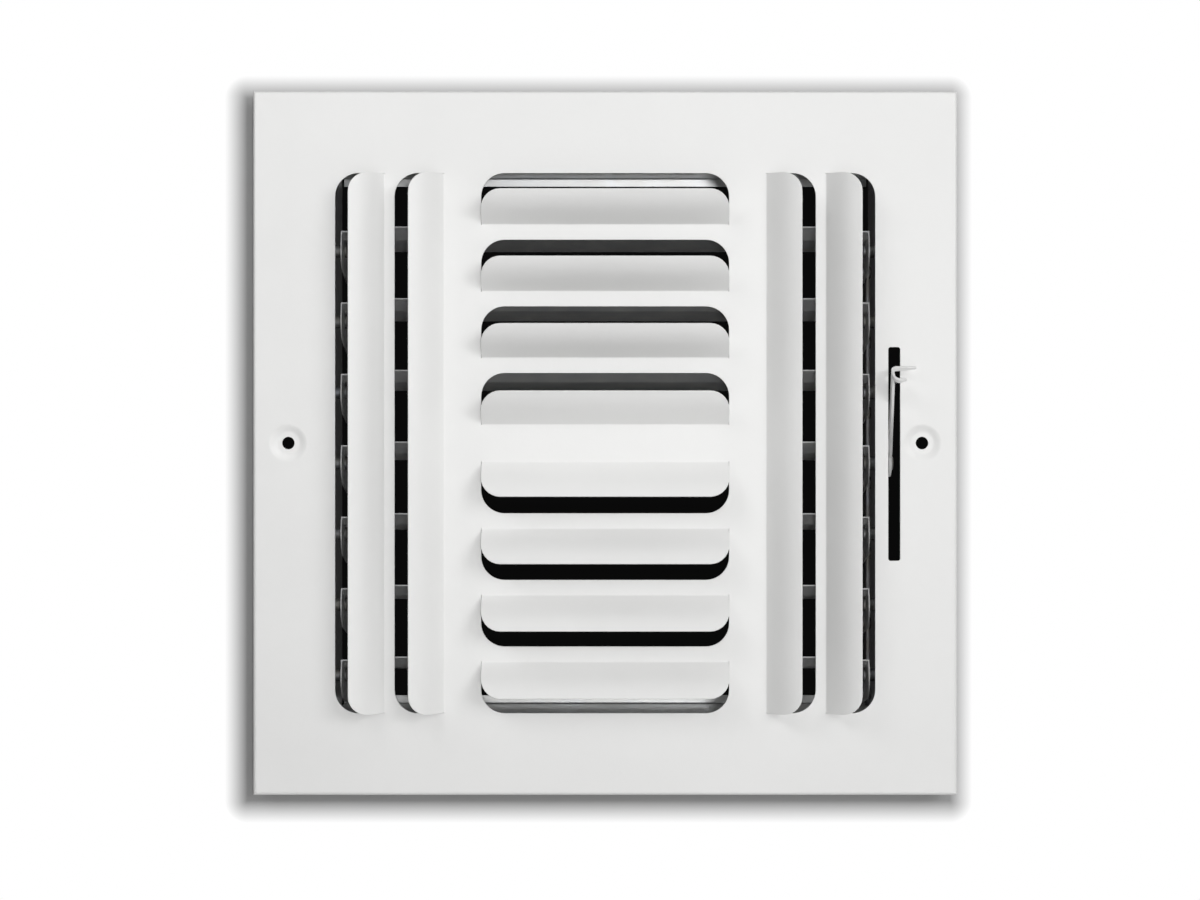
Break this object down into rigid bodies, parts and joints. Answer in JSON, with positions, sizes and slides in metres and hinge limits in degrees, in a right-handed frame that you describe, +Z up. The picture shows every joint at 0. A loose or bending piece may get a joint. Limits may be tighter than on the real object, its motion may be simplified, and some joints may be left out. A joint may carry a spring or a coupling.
{
  "type": "sidewall register",
  "caption": "Square stamped steel wall register with fixed curved louvres throwing air four ways and a lever-worked shutter damper in a shallow box behind.",
  "frame": {"origin": "centre of the face's outline on the wall plane, where the folded rim ends", "axes": "+Y into the wall along the duct, +Z up as hung, +X to the right seen from the room"},
  "size_m": [0.2476, 0.0523, 0.2476],
  "materials": {
    "white_enamel": "semi-gloss white baked enamel",
    "galvanised_sheet": "galvanised steel sheet, left bare",
    "zinc_plate": "bright zinc-plated steel"
  },
  "bodies": {
    "frame": {"face_plate": "white_enamel", "frame_top_rail": "galvanised_sheet", "frame_bottom_rail": "galvanised_sheet", "frame_left_side": "galvanised_sheet", "frame_right_side": "galvanised_sheet", "pivot_rivets_left": "zinc_plate", "pivot_rivets_right": "zinc_plate"},
    "shutter_1": {"blade_1": "galvanised_sheet"},
    "shutter_2": {"blade_2": "galvanised_sheet"},
    "shutter_3": {"blade_3": "galvanised_sheet"},
    "shutter_4": {"blade_4": "galvanised_sheet", "lever_shaft": "zinc_plate", "friction_washer": "zinc_plate", "lever": "white_enamel"},
    "shutter_5": {"blade_5": "galvanised_sheet"},
    "shutter_6": {"blade_6": "galvanised_sheet"},
    "shutter_7": {"blade_7": "galvanised_sheet"},
    "link": {"link_bar": "zinc_plate", "link_pins": "zinc_plate"}
  },
  "joints": [
    {"name": "lever_turn", "type": "hinge", "parent": "frame", "child": "shutter_4", "pos_m": [0, 0.0131, -0.0075], "axis": [1, 0, 0], "range_deg": [0, 102]},
    {"name": "shutter_1_turn", "type": "hinge", "parent": "frame", "child": "shutter_1", "pos_m": [0, 0.0131, 0.0687], "axis": [1, 0, 0], "range_deg": [0, 102]},
    {"name": "shutter_2_turn", "type": "hinge", "parent": "frame", "child": "shutter_2", "pos_m": [0, 0.0131, 0.0433], "axis": [1, 0, 0], "range_deg": [0, 102]},
    {"name": "shutter_3_turn", "type": "hinge", "parent": "frame", "child": "shutter_3", "pos_m": [0, 0.0131, 0.0179], "axis": [1, 0, 0], "range_deg": [0, 102]},
    {"name": "shutter_5_turn", "type": "hinge", "parent": "frame", "child": "shutter_5", "pos_m": [0, 0.0131, -0.0329], "axis": [1, 0, 0], "range_deg": [0, 102]},
    {"name": "shutter_6_turn", "type": "hinge", "parent": "frame", "child": "shutter_6", "pos_m": [0, 0.0131, -0.0583], "axis": [1, 0, 0], "range_deg": [0, 102]},
    {"name": "shutter_7_turn", "type": "hinge", "parent": "frame", "child": "shutter_7", "pos_m": [0, 0.0131, -0.0837], "axis": [1, 0, 0], "range_deg": [0, 102]},
    {"name": "link_swing", "type": "hinge", "parent": "shutter_4", "child": "link", "pos_m": [0.0949, 0.01908, -0.01488], "axis": [1, 0, 0], "range_deg": [-102, 0]}
  ],
  "couplings": [
    {"joint": "shutter_1_turn", "follows": "lever_turn", "ratio": 1},
    {"joint": "shutter_2_turn", "follows": "lever_turn", "ratio": 1},
    {"joint": "shutter_3_turn", "follows": "lever_turn", "ratio": 1},
    {"joint": "shutter_5_turn", "follows": "lever_turn", "ratio": 1},
    {"joint": "shutter_6_turn", "follows": "lever_turn", "ratio": 1},
    {"joint": "shutter_7_turn", "follows": "lever_turn", "ratio": 1},
    {"joint": "link_swing", "follows": "lever_turn", "ratio": -1}
  ]
}
